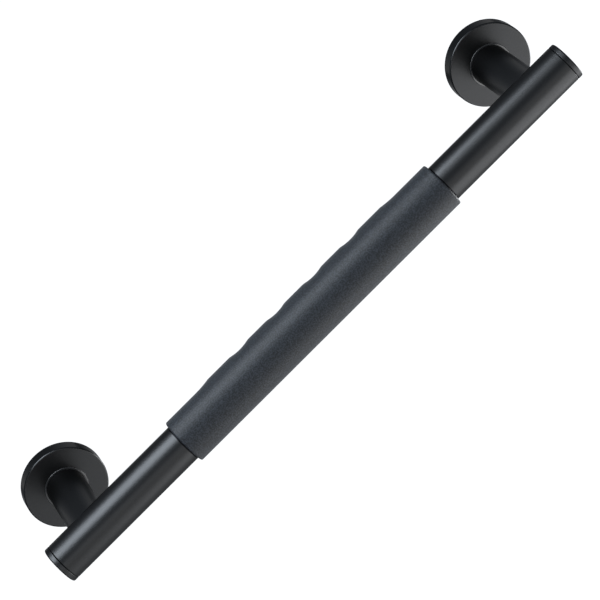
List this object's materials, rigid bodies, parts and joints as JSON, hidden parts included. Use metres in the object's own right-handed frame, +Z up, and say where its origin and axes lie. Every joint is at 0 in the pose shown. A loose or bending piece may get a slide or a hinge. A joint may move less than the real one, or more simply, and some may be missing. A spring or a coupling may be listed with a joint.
{
  "type": "grab bar",
  "caption": "Straight wall-mounted grab bar: round tube on round posts, round flange covers, flush end caps and a contoured rubber grip sleeve over the middle.",
  "frame": {"origin": "on the wall plane, midway between the two posts", "axes": "+X along the bar towards post_right, +Y into the wall, +Z up"},
  "size_m": [0.53, 0.1092, 0.067],
  "materials": {
    "satin_black": "satin black coating on steel",
    "grip_rubber": "fine-grained charcoal rubber",
    "bare_steel": "plain pressed steel",
    "grommet_rubber": "smooth black rubber"
  },
  "bodies": {
    "root": {"bar_tube": "satin_black", "grip_sleeve": "grip_rubber", "end_caps": "satin_black", "post_left": "satin_black", "post_right": "satin_black", "mounting_plates": "bare_steel", "flange_cover_left": "satin_black", "flange_cover_right": "satin_black", "cover_grommets": "grommet_rubber"}
  },
  "joints": []
}
